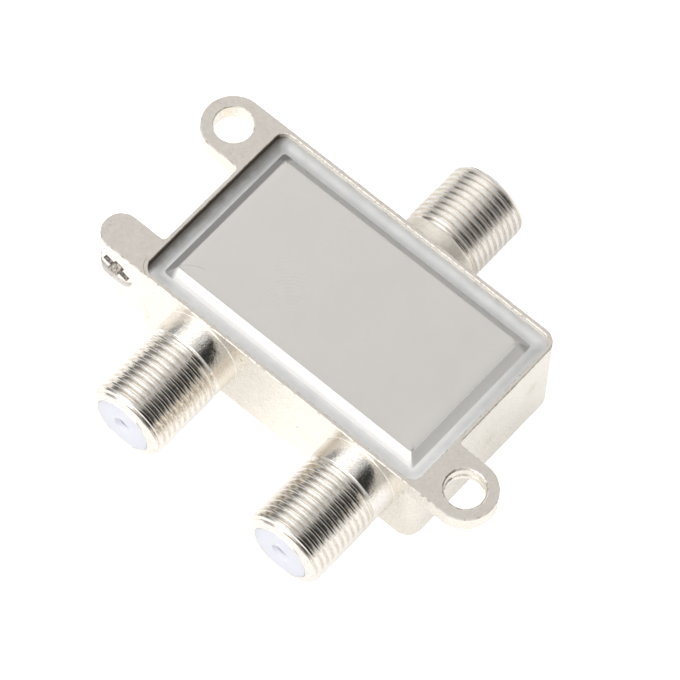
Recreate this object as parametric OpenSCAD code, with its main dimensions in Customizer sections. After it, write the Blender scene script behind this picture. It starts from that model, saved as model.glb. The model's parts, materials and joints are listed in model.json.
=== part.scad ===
// Two-way coaxial splitter: a nickel-plated die casting with threaded ports, a stamped back cover
// soldered into its rim, and a small circuit board with ferrite transformers inside.
// X runs along the body, +Y points out of the input port and +Z out of the back cover.
// The origin is the centre of the front face, on which the splitter lies.

/* [Body] */
// Length of the box body along X
body_w = 38; // [36:0.5:44]
// Depth of the box body along Y
body_d = 23; // [22:0.5:27]
// Height from the front face to the rim around the cover
body_h = 13; // [12.9:0.1:16]
// Radius of the upright corners
corner_r = 1.8; // [1.4:0.1:2.4]
// Thickness of the side walls below the ledge
wall_t = 2; // [1.6:0.1:2.2]
// Thickness of the front wall
front_t = 1.2; // [0.8:0.1:1.8]
// Chamfer around the front face
front_edge = 0.5; // [0.2:0.1:0.8]

/* [Cover] */
// Thickness of the thin rim around the cover
rim_t = 0.5; // [0.4:0.05:0.8]
// Depth of the recess that takes the cover, down to its ledge
recess_h = 1.6; // [1.5:0.1:2.2]
// Inner corner radius of the rim
recess_r = 1.3; // [1:0.1:1.8]
// Thickness of the stamped sheet
sheet_t = 0.4; // [0.3:0.05:0.5]
// Width of the soldered seam at the short sides of the cover
seam_end_w = 1.6; // [1.4:0.1:2.4]
// Width of the soldered seam along the long sides of the cover
seam_side_w = 1.5; // [1.4:0.1:2.4]
// Horizontal run of the bevel around the panel
bevel_run = 0.8; // [0.6:0.05:1]
// How far the panel lies below the rim
panel_drop = 0.2; // [0:0.05:0.3]
// Height that the solder seam climbs up the rim
seam_rise = 0.5; // [0.15:0.05:0.6]

/* [Ports] */
// Depth of the port axes below the rim
port_drop = 5.4; // [5.2:0.1:6]
// Distance between the two output ports
output_spacing = 21.6; // [20:0.2:22.4]
// Place along X midway between the outputs
output_x = 1.1; // [-1:0.1:1.2]
// Place along X of the input port
input_x = 1.2; // [-1.5:0.1:2]
// Length of an output port beyond the wall
output_l = 12.45; // [11:0.05:14]
// Length of the input port beyond the wall
input_l = 10.55; // [10:0.05:12]
// Radius of the plain neck
neck_r = 4.65; // [4.5:0.05:4.7]
// Length of the plain neck of an output port
output_neck_l = 2.8; // [2:0.1:3.4]
// Length of the plain neck of the input port
input_neck_l = 1.9; // [1.4:0.1:2.6]
// Radius of the relief behind the thread
relief_r = 4.4; // [4.2:0.05:4.45]
// Length of the relief
relief_l = 0.7; // [0.4:0.05:0.9]
// Outer radius of the thread
thread_r = 4.7; // [4.68:0.01:4.75]
// Length of the nose chamfer
nose_l = 0.9; // [0.6:0.05:1.1]
// Radius of the nose at its end
nose_r = 3.75; // [3.6:0.05:4]
// Radius of the fillet between port and wall
port_fillet = 0.55; // [0.3:0.05:0.6]

/* [Insulators and contacts] */
// Radius of the bore that takes the insulator
port_bore_r = 3.4; // [3.2:0.05:3.5]
// Radius of the passage from the port into the body
passage_r = 2.2; // [1.8:0.1:2.6]
// Distance of the bore's shoulder from the outside of the wall
shoulder_l = 2.2; // [1.5:0.1:2.8]
// Clearance around the insulator
insulator_gap = 0.02; // [0.01:0.01:0.05]
// Thickness of the insulator's face
insulator_face = 1.4; // [1:0.1:1.6]
// Radius of the hole for the centre conductor
entry_r = 0.7; // [0.6:0.05:0.8]
// Outer radius of the contact tube
contact_r = 1.15; // [1.05:0.05:1.3]
// Inner radius of the contact tube
contact_bore_r = 0.52; // [0.5:0.01:0.6]
// Length of the contact tube
contact_l = 6; // [5:0.1:6.3]
// Thickness of the contact's tail strip
tail_t = 0.3; // [0.2:0.05:0.4]
// Width of the contact's tail strip
tail_w = 0.9; // [0.7:0.1:1.1]

/* [Mounting ears] */
// Outer radius of a mounting ear
ear_r = 3.55; // [3.4:0.05:4]
// Radius of the hole in a mounting ear
ear_hole_r = 2.15; // [1.8:0.05:2.3]
// Thickness of a mounting ear
ear_t = 2.3; // [1.8:0.1:3]
// How far a mounting ear stands out from the body
ear_reach = 7.3; // [6.8:0.1:9]

/* [Ground terminal] */
// Width of the ground lug along Y
lug_w = 4.4; // [4.2:0.1:5]
// How far the ground lug stands out from the body
lug_reach = 6.2; // [5.8:0.1:7]
// Height of the ground lug
lug_h = 9; // [8:0.1:10]
// Radius of the hole for the ground wire
wire_hole_r = 1.1; // [1:0.05:1.2]
// Thickness left over the end of the wire hole
wire_roof = 1; // [0.8:0.1:1.4]
// Wall between the wire hole and the far side of the lug
wire_wall = 0.55; // [0.5:0.05:0.7]
// Radius of the screw's head
head_r = 2.3; // [2.1:0.05:2.4]
// Thickness of the screw's head
head_t = 0.7; // [0.65:0.05:0.8]
// Depth of the seat for the screw's head
seat_h = 1.1; // [0.9:0.05:1.2]
// Radius of the screw's shank
shank_r = 1.45; // [1.3:0.05:1.5]
// Length of the screw's shank
shank_l = 2.3; // [2:0.1:2.4]
// Clearance between shank and hole
shank_gap = 0.05; // [0.02:0.01:0.09]
// Width of an arm of the cross recess
cross_w = 0.8; // [0.6:0.05:1]
// Length of the cross recess from end to end
cross_l = 3.5; // [2.8:0.1:3.8]
// Depth of the cross recess
cross_h = 0.55; // [0.4:0.05:0.6]

/* [Circuit board] */
// Thickness of the board
board_t = 1; // [0.8:0.1:1.2]
// Height of the posts that carry the board
post_h = 3.8; // [3.2:0.1:4]
// Radius of a post
post_r = 1.2; // [1:0.1:1.4]
// Radius of the peg on a post
peg_r = 0.6; // [0.5:0.05:0.7]
// Clearance between the board and what it fits
board_gap = 0.4; // [0.2:0.05:0.6]
// Thickness of the copper tracks
track_t = 0.07; // [0.05:0.01:0.1]
// Width of the copper tracks
track_w = 0.9; // [0.7:0.1:1.1]

/* [Transformers] */
// Length of a ferrite core along its holes
core_l = 3; // [2.6:0.1:3.4]
// Radius of a ferrite core's rounded sides
core_r = 1.25; // [1.15:0.05:1.4]
// Distance between a core's two holes
core_pitch = 2.2; // [2:0.1:2.4]
// Radius of a core's hole
core_hole_r = 0.6; // [0.55:0.05:0.7]
// Diameter of the winding wire
wire_d = 0.25; // [0.2:0.01:0.28]
// Turns of the matching transformer
matching_turns = 2; // [1:1:2]
// Turns of the splitting transformer
splitting_turns = 2; // [1:1:2]
// Turns of the peaking coil
coil_turns = 4; // [3:1:6]
// Mean radius of the peaking coil
coil_r = 0.9; // [0.8:0.05:1.1]

/* [Hidden] */

$fn = 48;
// Overshoot of a cut past the face that it opens
cut = 0.1;

// Cavity, recess and cover
cavity = [body_w / 2 - wall_t, body_d / 2 - wall_t];
recess = [body_w / 2 - rim_t, body_d / 2 - rim_t];
ledge_z = body_h - recess_h;
flange_z = ledge_z + sheet_t;
panel_z = body_h - panel_drop;
foot = recess - [seam_end_w, seam_side_w];
panel = [for (h = foot) h - bevel_run];
cover_gap = 0.1;
edge_r = 0.3;
ring_steps = 4;

// Ports: place along X, side of the body, length beyond the wall, length of the neck
output_left = [output_x - output_spacing / 2, -1, output_l, output_neck_l];
output_right = [output_x + output_spacing / 2, -1, output_l, output_neck_l];
input = [input_x, 1, input_l, input_neck_l];
port_z = body_h - port_drop;
port_list = [output_left, output_right, input];

// Mounting ears: the same ear on two opposite corners
ear_c = [body_w / 2 + ear_reach - ear_r, body_d / 2 - ear_r];
ear_fillet = 0.4;

// Ground lug and screw
lug_c = [-body_w / 2 - lug_reach + lug_w / 2, -body_d / 2 + lug_w / 2];
lug_z = body_h - lug_h;
screw_x = -body_w / 2 - lug_reach / 2;
screw_z = lug_z + lug_h / 2;
wire_y = -body_d / 2 + lug_w - wire_wall - wire_hole_r;
seat_gap = 0.15;
head_round = 0.2;
cross_turn = 22;

// Board and what stands on it
board = [cavity.x - board_gap, cavity.y - board_gap];
board_z = front_t + post_h;
board_top = board_z + board_t;
pad_z = board_top + track_t;
post = [board.x - post_r - board_gap, board.y - post_r - board_gap];
peg_gap = 0.05;
peg_rise = 0.5;
solder_h = 0.4;
tail_drop = port_z - pad_z;
foot_l = 1.2;
tail_reach = wall_t + board_gap + 0.5;
foot_mid = tail_reach + foot_l / 2;
chip = [3.2, 1.6, 0.6];
chip_end = 0.5;
core_lead = 0.9;
wire_space = 0.06;

// Places of the pieces on the board
matching_at = [input_x - 5, 3.2];
splitting_at = [output_x + 2.6, -1.6];
resistor_at = [output_x, -board.y + 2.4];
input_capacitor_at = [input_x + 2.4, 3.6];
capacitor_y = -board.y + 4.6;
coil_at = [input_x + 8, 3.2];
input_foot = [input_x, body_d / 2 - foot_mid];
left_foot = [output_left.x, -body_d / 2 + foot_mid];
right_foot = [output_right.x, -body_d / 2 + foot_mid];

// Rounded rectangle with its centre at the origin
module rounded_rect(half, r) {
    square([2 * half.x, 2 * (half.y - r)], center = true);
    square([2 * (half.x - r), 2 * half.y], center = true);
    for (sx = [-1, 1], sy = [-1, 1])
        translate([sx * (half.x - r), sy * (half.y - r)]) circle(r);
}

// Ring of points around a rounded rectangle, anticlockwise from +X
function ring(half, r, z) = [
    for (q = [0:3], k = [0:ring_steps])
        let (a = 90 * (q + k / ring_steps),
            sx = q == 0 || q == 3 ? 1 : -1,
            sy = q < 2 ? 1 : -1)
        [sx * (half.x - r) + r * cos(a), sy * (half.y - r) + r * sin(a), z]
];

// Two triangles for each side between ring i and ring j of n points
function band(i, j, n) = [
    for (k = [0:n - 1])
        let (m = (k + 1) % n, a = i * n + k, b = i * n + m, c = j * n + k, d = j * n + m)
        each [[a, c, d], [a, d, b]]
];

// Solid through a stack of rings
module loft(rings) {
    n = len(rings[0]);
    last = len(rings) - 1;
    polyhedron(
        points = [for (ring = rings) each ring],
        faces = concat(
            [[for (k = [0:n - 1]) k]],
            [for (i = [0:last - 1]) each band(i, i + 1, n)],
            [[for (k = [n - 1:-1:0]) last * n + k]]));
}

// Frame through a closed loop of rings
module loft_frame(rings) {
    n = len(rings[0]);
    polyhedron(
        points = [for (ring = rings) each ring],
        faces = [for (i = [0:len(rings) - 1]) each band(i, (i + 1) % len(rings), n)]);
}

// Directions across a path, carried along it without twist
function unit(v) = v / norm(v);
function heading(path, i) = unit(path[min(i + 1, len(path) - 1)] - path[max(i - 1, 0)]);
function frames(path, i, across) = i == len(path) ? [] :
    let (t = heading(path, i), u = unit(across - (across * t) * t))
    concat([[u, cross(t, u)]], frames(path, i + 1, u));

// Round wire along a path, with its first cross direction
module wire(path, d, across = [0, 0, 1], sides = 6) {
    f = frames(path, 0, across);
    loft([for (i = [0:len(path) - 1])
        [for (k = [0:sides - 1])
            let (a = 360 * k / sides)
            path[i] + d / 2 * (cos(a) * f[i][0] + sin(a) * f[i][1])]]);
}

// Puts a piece at a port: its Z points outwards and its Y up
module at_port(port) {
    translate([port.x, port.y * body_d / 2, port_z])
        rotate([90, 0, port.y > 0 ? 180 : 0]) children();
}

// Body block with its front edge chamfered
module body_block() {
    hull()
        for (sx = [-1, 1], sy = [-1, 1])
            translate([sx * (body_w / 2 - corner_r), sy * (body_d / 2 - corner_r), 0]) {
                cylinder(r1 = corner_r - front_edge, r2 = corner_r, h = front_edge, $fn = 32);
                translate([0, 0, front_edge])
                    cylinder(r = corner_r, h = body_h - front_edge, $fn = 32);
            }
}

// Outline of one port, turned about its axis: fillet, neck, relief, thread and nose
module port_outline(l, neck_l) {
    polygon([[0, -wall_t / 2], [neck_r, -wall_t / 2], [neck_r, neck_l],
        [relief_r, neck_l + relief_l / 3], [relief_r, neck_l + relief_l * 2 / 3],
        [thread_r, neck_l + relief_l], [thread_r, l - nose_l], [nose_r, l], [0, l]]);
    difference() {
        translate([0, -wall_t / 2]) square([neck_r + port_fillet, wall_t / 2 + port_fillet]);
        translate([neck_r + port_fillet, port_fillet]) circle(port_fillet);
    }
}

// Stepped bore of a port, from the nose to the cavity
module port_bore(l) {
    translate([0, 0, shoulder_l]) cylinder(r = port_bore_r, h = l);
    translate([0, 0, -wall_t - cut]) cylinder(r = passage_r, h = wall_t + shoulder_l + 2 * cut);
}

// Fillet between an ear and the body wall, in the corner at the origin
module corner_fillet(r) {
    difference() {
        translate([-cut, -cut]) square(r + cut);
        translate([r, r]) circle(r);
    }
}

// Mounting ear at the corner +X, -Y
module ear() {
    translate([0, 0, body_h - ear_t]) linear_extrude(ear_t) {
        translate([ear_c.x, -ear_c.y]) circle(ear_r);
        translate([body_w / 2 - corner_r, -body_d / 2])
            square([ear_c.x - body_w / 2 + corner_r, 2 * ear_r]);
        translate([body_w / 2, -body_d / 2 + 2 * ear_r]) corner_fillet(ear_fillet);
    }
}

// Ground lug with its round end
module ground_lug() {
    translate([0, 0, lug_z]) linear_extrude(lug_h) {
        translate(lug_c) circle(lug_w / 2);
        translate([lug_c.x, -body_d / 2]) square([-body_w / 2 + corner_r - lug_c.x, lug_w]);
        translate([-body_w / 2, -body_d / 2 + lug_w]) mirror([1, 0]) corner_fillet(ear_fillet);
    }
}

// Puts a piece on the screw's axis: its Z points out of the lug's face
module at_screw() {
    translate([screw_x, -body_d / 2, screw_z]) rotate([90, 0, 0]) children();
}

// Seat, screw hole and wire hole of the ground lug
module ground_holes() {
    at_screw() {
        translate([0, 0, -seat_h]) cylinder(r = head_r + seat_gap, h = seat_h + lug_w);
        translate([0, 0, -seat_h - shank_l - seat_gap])
            cylinder(r = shank_r + shank_gap, h = shank_l + seat_h);
    }
    translate([screw_x, wire_y, lug_z - cut])
        cylinder(r = wire_hole_r, h = lug_h - wire_roof + cut);
}

// Posts with pegs that carry the board
module board_posts() {
    for (sx = [-1, 1], sy = [-1, 1])
        translate([sx * post.x, sy * post.y, front_t / 2]) {
            cylinder(r = post_r, h = post_h + front_t / 2);
            cylinder(r = peg_r, h = front_t / 2 + post_h + board_t + peg_rise);
        }
}

module housing() {
    color("gainsboro") {
        difference() {
            union() {
                body_block();
                ear();
                rotate([0, 0, 180]) ear();
                ground_lug();
                for (port = port_list) at_port(port) rotate_extrude() port_outline(port.z, port[3]);
            }
            translate([0, 0, front_t])
                linear_extrude(body_h) rounded_rect(cavity, corner_r / 2);
            translate([0, 0, ledge_z]) linear_extrude(body_h) rounded_rect(recess, recess_r);
            for (port = port_list) at_port(port) port_bore(port.z);
            for (turn = [0, 180])
                rotate([0, 0, turn]) translate([ear_c.x, -ear_c.y, body_h - ear_t - cut])
                    cylinder(r = ear_hole_r, h = ear_t + 2 * cut);
            ground_holes();
        }
        board_posts();
    }
}

// Stamped sheet: flat flange, bevel with rolled edges, flat panel
module cover_plate() {
    flange = [for (h = recess) h - cover_gap];
    color("lightgray") difference() {
        loft([
            ring(flange, recess_r, ledge_z),
            ring(flange, recess_r, flange_z),
            ring([for (h = foot) h + edge_r / 2], 1.1, flange_z),
            ring(foot, 1, flange_z + edge_r / 4),
            ring([for (h = panel) h + edge_r / 2], 0.7, panel_z - edge_r),
            ring([for (h = panel) h - edge_r / 2], 0.6, panel_z - edge_r / 4),
            ring([for (h = panel) h - edge_r], 0.5, panel_z)]);
        loft([
            ring([for (h = foot) h - sheet_t / 2], 0.8, ledge_z - cut),
            ring([for (h = foot) h - sheet_t], 0.7, ledge_z + edge_r),
            ring([for (h = panel) h - sheet_t], 0.5, panel_z - sheet_t)]);
    }
}

// Solder in the corner between the flange and the rim
module cover_seam() {
    inner = [for (h = foot) h + edge_r / 2 + 0.05];
    steps = 5;
    seam_t = 0.05;
    function at(t) = [for (k = [0:1]) recess[k] + (inner[k] - recess[k]) * t];
    color("silver") loft_frame(concat(
        [ring(recess, recess_r, flange_z)],
        [for (k = [0:steps])
            let (t = k / steps)
            ring(at(t), recess_r + (1.1 - recess_r) * t, flange_z + seam_t + seam_rise * pow(1 - t, 2))],
        [ring(inner, 1.1, flange_z)]));
}

// Plastic insulator, flush with the port's nose
module insulator(port) {
    l = port.z - shoulder_l;
    color("white") at_port(port) difference() {
        translate([0, 0, shoulder_l]) cylinder(r = port_bore_r - insulator_gap, h = l);
        translate([0, 0, shoulder_l - cut])
            cylinder(r = contact_r + insulator_gap, h = l - insulator_face + cut);
        cylinder(r = entry_r, h = port.z + cut);
        translate([0, 0, port.z - 0.4]) cylinder(r1 = entry_r, r2 = entry_r + 0.5, h = 0.5);
    }
}

// Contact: slotted tube, tail strip through the passage, foot on its pad
module contact(port) {
    mouth = port.z - insulator_face;
    back = mouth - contact_l;
    color("goldenrod") at_port(port) {
        difference() {
            translate([0, 0, back]) cylinder(r = contact_r, h = contact_l);
            translate([0, 0, back + 1]) cylinder(r = contact_bore_r, h = contact_l);
            translate([-tail_t / 2, -contact_r - cut, back + 2])
                cube([tail_t, 2 * (contact_r + cut), contact_l]);
        }
        translate([-tail_w / 2, -tail_t / 2, -tail_reach]) cube([tail_w, tail_t, tail_reach + back + cut]);
        translate([-tail_w / 2, -tail_drop, -tail_reach]) cube([tail_w, tail_drop, tail_t]);
        translate([-tail_w / 2, -tail_drop, -tail_reach - foot_l]) cube([tail_w, tail_t, foot_l + tail_t]);
    }
}

// Ground screw: low head with a slot, plain shank
module ground_screw() {
    color("silver") at_screw() translate([0, 0, -seat_h]) difference() {
        union() {
            cylinder(r = head_r, h = head_t - head_round);
            translate([0, 0, head_t - head_round])
                cylinder(r1 = head_r, r2 = head_r - head_round, h = head_round);
            translate([0, 0, -shank_l]) cylinder(r = shank_r, h = shank_l + cut);
        }
        for (turn = [0, 90])
            rotate(turn - cross_turn) translate([-cross_l / 2, -cross_w / 2, head_t - cross_h])
                cube([cross_l, cross_w, cross_h + cut]);
    }
}

module circuit_board() {
    color("darkolivegreen") difference() {
        translate([0, 0, board_z]) linear_extrude(board_t) rounded_rect(board, 1);
        for (sx = [-1, 1], sy = [-1, 1])
            translate([sx * post.x, sy * post.y, board_z - cut])
                cylinder(r = peg_r + peg_gap, h = board_t + 2 * cut);
    }
}

// Copper strip with round ends from a to b
module track(a, b) {
    l = norm(b - a);
    translate([a.x, a.y, board_top]) rotate(atan2(b.y - a.y, b.x - a.x)) linear_extrude(track_t) {
        translate([0, -track_w / 2]) square([l, track_w]);
        circle(track_w / 2);
        translate([l, 0]) circle(track_w / 2);
    }
}

// Ends of a winding's leads on the board
function lead_at(core, side) = [core.x + core_pitch / 2, core.y + side * (core_l / 2 + core_lead + wire_d)];

module board_tracks() {
    chip_x = chip.x / 2 - chip_end / 2;
    cap_low = input_capacitor_at.y - chip_x;
    color("darkorange") {
        track(input_foot, [input_x, input_capacitor_at.y + chip_x]);
        track([input_x, input_capacitor_at.y + chip_x], input_capacitor_at + [0, chip_x]);
        track([input_x, input_capacitor_at.y + chip_x], lead_at(matching_at, 1));
        track(input_capacitor_at - [0, chip_x], [coil_at.x, cap_low]);
        track(lead_at(matching_at, -1), [splitting_at.x - core_pitch, lead_at(matching_at, -1).y]);
        track(left_foot, [left_foot.x, capacitor_y - chip_x]);
        track(left_foot, [resistor_at.x - chip_x, resistor_at.y]);
        track(right_foot, [right_foot.x, capacitor_y - chip_x]);
        track(right_foot, [resistor_at.x + chip_x, resistor_at.y]);
        track([left_foot.x, capacitor_y + chip_x], [left_foot.x, capacitor_y + chip.x]);
        track([right_foot.x, capacitor_y + chip_x], [right_foot.x, capacitor_y + chip.x]);
        track(lead_at(splitting_at, 1), [lead_at(splitting_at, 1).x + chip.x, lead_at(splitting_at, 1).y]);
    }
}

// Ferrite core with two holes along Y, standing on the board
module ferrite_core(at) {
    translate([at.x, at.y + core_l / 2, board_top + core_r]) rotate([90, 0, 0]) difference() {
        linear_extrude(core_l) {
            for (side = [-1, 1]) translate([side * core_pitch / 2, 0]) circle(core_r);
            square([core_pitch, 2 * core_r], center = true);
        }
        for (side = [-1, 1])
            translate([side * core_pitch / 2, 0, -cut]) cylinder(r = core_hole_r, h = core_l + 2 * cut);
    }
}

// Value drawn towards the ends of its range, for a turn with nearly square corners
function squared(v) = sign(v) * pow(abs(v), 1 / 3);

// Winding through both holes of a core, with its leads brought down to the board
module core_winding(at, turns) {
    reach = core_l / 2 + core_lead;
    pitch = wire_d + wire_space;
    steps = 20;
    last = (turns - 1 / 4) * steps;
    turned = [for (k = [0:last])
        let (a = 45 + 360 * k / steps)
        [at.x + core_pitch / 2 * squared(cos(a)), at.y + reach * squared(sin(a)),
            board_top + core_r + pitch * (k - last / 2) / steps]];
    ends = [for (side = [1, -1]) [lead_at(at, side).x, lead_at(at, side).y, pad_z + wire_d / 2]];
    wire(concat([ends[0]], turned, [ends[1]]), wire_d);
}

module matching_core() { color("dimgray") ferrite_core(matching_at); }
module matching_winding() { color("firebrick") core_winding(matching_at, matching_turns); }
module splitting_core() { color("dimgray") ferrite_core(splitting_at); }
module splitting_winding() { color("firebrick") core_winding(splitting_at, splitting_turns); }

// Chip part along Y with a shiny terminal step at each end
module chip_part(at, turn) {
    translate([at.x, at.y, pad_z]) rotate(turn) {
        translate([-chip.x / 2 + chip_end, -chip.y / 2, 0.05])
            cube([chip.x - 2 * chip_end, chip.y, chip.z - 0.1]);
        for (side = [0, 1])
            translate([side ? chip.x / 2 - chip_end : -chip.x / 2, -chip.y / 2, 0])
                cube([chip_end, chip.y, chip.z]);
    }
}

module isolation_resistor() { color("black") chip_part(resistor_at, 0); }
module input_capacitor() { color("tan") chip_part(input_capacitor_at, 90); }
module output_capacitor_left() { color("tan") chip_part([left_foot.x, capacitor_y], 90); }
module output_capacitor_right() { color("tan") chip_part([right_foot.x, capacitor_y], 90); }

// Air coil wound along X, its ends brought down to the board
module peaking_coil() {
    steps = 16;
    pitch = 2 * wire_d;
    l = coil_turns * pitch;
    axis_z = pad_z + coil_r + 1.5 * wire_d;
    turned = [for (k = [0:coil_turns * steps])
        let (a = -90 + 360 * k / steps)
        [coil_at.x - l / 2 + l * k / (coil_turns * steps), coil_at.y + coil_r * cos(a),
            axis_z + coil_r * sin(a)]];
    ends = [for (side = [-1, 1]) [coil_at.x + side * (l / 2 + coil_r), coil_at.y, pad_z + wire_d / 2]];
    color("firebrick") wire(concat([ends[0]], turned, [ends[1]]), wire_d);
}

// Solder on the feet of the contacts
module contact_solder() {
    color("silver") for (port = port_list) difference() {
        at_port(port) translate([0, -tail_drop, -foot_mid]) rotate([-90, 0, 0])
            cylinder(r1 = tail_w, r2 = tail_w / 2, h = solder_h + tail_t / 2);
        contact(port);
    }
}

// Solder rings around the pegs, on the board
module ground_solder() {
    color("silver") for (sx = [-1, 1], sy = [-1, 1])
        translate([sx * post.x, sy * post.y, board_top]) difference() {
            cylinder(r1 = post_r, r2 = peg_r + 0.2, h = solder_h);
            translate([0, 0, -cut]) cylinder(r = peg_r, h = solder_h + 2 * cut);
        }
}

housing();
cover_plate();
cover_seam();
insulator(input);  // insulator_in
insulator(output_left);  // insulator_out_left
insulator(output_right);  // insulator_out_right
contact(input);  // contact_in
contact(output_left);  // contact_out_left
contact(output_right);  // contact_out_right
ground_screw();
circuit_board();
board_tracks();
matching_core();
matching_winding();
splitting_core();
splitting_winding();
isolation_resistor();
input_capacitor();
output_capacitor_left();
output_capacitor_right();
peaking_coil();
contact_solder();
ground_solder();
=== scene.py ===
"""Looks of a two-way coaxial splitter: a nickel-plated die casting with three threaded ports,
a stamped back cover sealed with solder, white insulators and a ground screw in its lug.
Shapes are built in millimetres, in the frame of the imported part, and scaled to metres at the end."""

import json
import math

import bmesh
import bpy
from mathutils import Matrix, Quaternion, Vector, noise


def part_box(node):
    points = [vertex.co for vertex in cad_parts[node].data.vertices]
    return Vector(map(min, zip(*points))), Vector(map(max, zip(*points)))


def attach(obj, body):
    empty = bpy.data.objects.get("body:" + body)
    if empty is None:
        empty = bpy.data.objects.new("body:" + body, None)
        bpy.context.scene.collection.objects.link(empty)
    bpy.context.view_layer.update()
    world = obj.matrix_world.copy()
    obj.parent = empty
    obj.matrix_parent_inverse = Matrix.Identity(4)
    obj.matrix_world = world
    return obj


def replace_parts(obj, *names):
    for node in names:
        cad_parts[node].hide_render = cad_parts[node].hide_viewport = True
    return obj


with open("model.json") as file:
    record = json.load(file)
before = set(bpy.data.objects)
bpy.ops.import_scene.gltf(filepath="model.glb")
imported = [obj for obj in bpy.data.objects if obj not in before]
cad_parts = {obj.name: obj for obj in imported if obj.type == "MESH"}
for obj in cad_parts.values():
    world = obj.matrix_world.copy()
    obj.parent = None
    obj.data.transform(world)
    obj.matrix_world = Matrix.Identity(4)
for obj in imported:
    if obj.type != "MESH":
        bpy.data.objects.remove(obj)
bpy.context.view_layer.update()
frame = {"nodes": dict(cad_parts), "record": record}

MM = 0.001
# Points around a turned shape, and spacing of the points along an outline's sides
AROUND = 96
FINE = 0.35
COARSE = 4.0
# Without a seed the cast edges would wander a little differently at every run
noise.seed_set(1)


# Sizes read from the frame, in millimetres

def box_mm(node):
    lo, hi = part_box(node)
    return lo / MM, hi / MM


def mount_mm(name):
    """Place of a mount and its dimensions."""
    for mount in frame["record"]["mounts"]:
        if mount["name"] == name:
            return Vector(mount["pos_m"]) / MM, mount["dims"]
    raise KeyError(name)


housing_lo, housing_hi = box_mm("housing")
cover_lo, cover_hi = box_mm("cover_plate")
screw_lo, screw_hi = box_mm("ground_screw")

# Body: outer half sizes, rim round the cover, walls and edges
RIM_T = 0.5
COVER_GAP = 0.1
BODY = Vector((cover_hi.x + COVER_GAP + RIM_T, cover_hi.y + COVER_GAP + RIM_T))
TOP_Z = housing_hi.z
LEDGE_Z = cover_lo.z
PANEL_Z = cover_hi.z
CORNER_R = 1.8
WALL_T = 2.0
FRONT_T = 1.2
FRONT_EDGE = 0.5
RECESS_R = 1.3
EDGE_R = 0.12
RIM_WANDER = 0.035

# Cover: depth of its flange below the rim, inset of its foot from the body's sides, sheet
FLANGE_DOWN = 1.2
FOOT_INSET = 1.95
FOOT_R = 0.4
SHARPEST_R = 0.12
SHEET_T = 0.4

# Solder between cover and rim: inset of its inner edge, rise at the rim, wander of its surface
SEAM_INSET = 2.03
SEAM_RISE = 0.42
SEAM_WANDER = 0.06

# Ports: place along X, side of the body, length beyond the wall, length of the neck
PORT_Z = mount_mm("input_port")[0].z
THREAD_R = mount_mm("input_port")[1]["r_mm"]
IN_X = mount_mm("input_port")[0].x
LEFT_X = mount_mm("output_port_left")[0].x
RIGHT_X = mount_mm("output_port_right")[0].x
PORTS = {
    "in": (IN_X, 1, housing_hi.y - BODY.y, 1.9),
    "left": (LEFT_X, -1, -housing_lo.y - BODY.y, 2.8),
    "right": (RIGHT_X, -1, -housing_lo.y - BODY.y, 2.8),
}
NECK_R = 4.65
RELIEF_R = 4.52
RELIEF_L = 0.7
NOSE_R = 3.75
NOSE_L = 0.9
PORT_FILLET = 0.12
PORT_BORE_R = 3.4
PASSAGE_R = 2.2
SHOULDER_L = 2.2
THREAD_PITCH = 25.4 / 32
THREAD_DEPTH = 0.36
CREST_ROUND = 0.06
CREST_EASE = 0.015
CREST_WORN = 0.03
THREAD_WANDER = 0.02
NOSE_CURVE = 2.2
NOSE_LIP = 0.08
BORE_LIP = 0.06

# Mounting ears and ground lug
EAR_R = 3.55
EAR_HOLE_R = mount_mm("ear_holes")[1]["hole_r_mm"]
EAR_T = 2.3
EAR = Vector((housing_hi.x - EAR_R, BODY.y - EAR_R))
EAR_FLARE = 0.28
FILLET_R = 0.4
WALL_LAP = 1.5
SCREW_X = (screw_lo.x + screw_hi.x) / 2
SCREW_Z = (screw_lo.z + screw_hi.z) / 2
LUG_W = 4.4
LUG_REACH = 2 * (-SCREW_X - BODY.x)
LUG_Z = 4.0
HEAD_R = (screw_hi.x - screw_lo.x) / 2
HEAD_T = 0.7
SEAT_H = 1.1
SEAT_GAP = 0.06
SHANK_R = 1.45
SHANK_L = 2.3
SCREW_PITCH = 0.35
SCREW_DEPTH = 0.22
CROSS_TURN = math.radians(22)
CROSS_L = 3.5
CROSS_W = 1.3
CROSS_DEEP = 0.9
HEAD_FACE_Y = -BODY.y + SEAT_H - HEAD_T

# Board posts inside
BOARD_LO, BOARD_HI = box_mm("circuit_board")
POST_R = 1.2
PEG_R = 0.6
PEG_RISE = 0.5
POST_INSET = 1.6


# Mesh helpers

def mesh_from(name, verts, faces):
    mesh = bpy.data.meshes.new(name)
    mesh.from_pydata([tuple(v) for v in verts], [], faces)
    return mesh


def clean(mesh, weld=0.0005):
    """Welds doubles and makes the faces point outwards."""
    work = bmesh.new()
    work.from_mesh(mesh)
    bmesh.ops.remove_doubles(work, verts=work.verts, dist=weld)
    bmesh.ops.recalc_face_normals(work, faces=work.faces)
    work.to_mesh(mesh)
    work.free()
    return mesh


def loft(name, rings, closed=False):
    """Solid through rings of as many points each; a closed one joins its last ring to its first."""
    count = len(rings[0])
    verts = [p for ring in rings for p in ring]
    faces = []
    spans = len(rings) if closed else len(rings) - 1
    for i in range(spans):
        low, high = i * count, (i + 1) % len(rings) * count
        for k in range(count):
            m = (k + 1) % count
            faces.append((low + k, low + m, high + m, high + k))
    if not closed:
        faces.append(tuple(range(count - 1, -1, -1)))
        faces.append(tuple((len(rings) - 1) * count + k for k in range(count)))
    return clean(mesh_from(name, verts, faces))


def revolve(name, profile, count=AROUND):
    """Solid turned about Z from points of radius and height; it starts and ends on the axis."""
    rings = []
    for r, z in profile:
        rings.append([(r * math.cos(2 * math.pi * k / count), r * math.sin(2 * math.pi * k / count), z)
                      for k in range(count)])
    return loft(name, rings)


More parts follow.
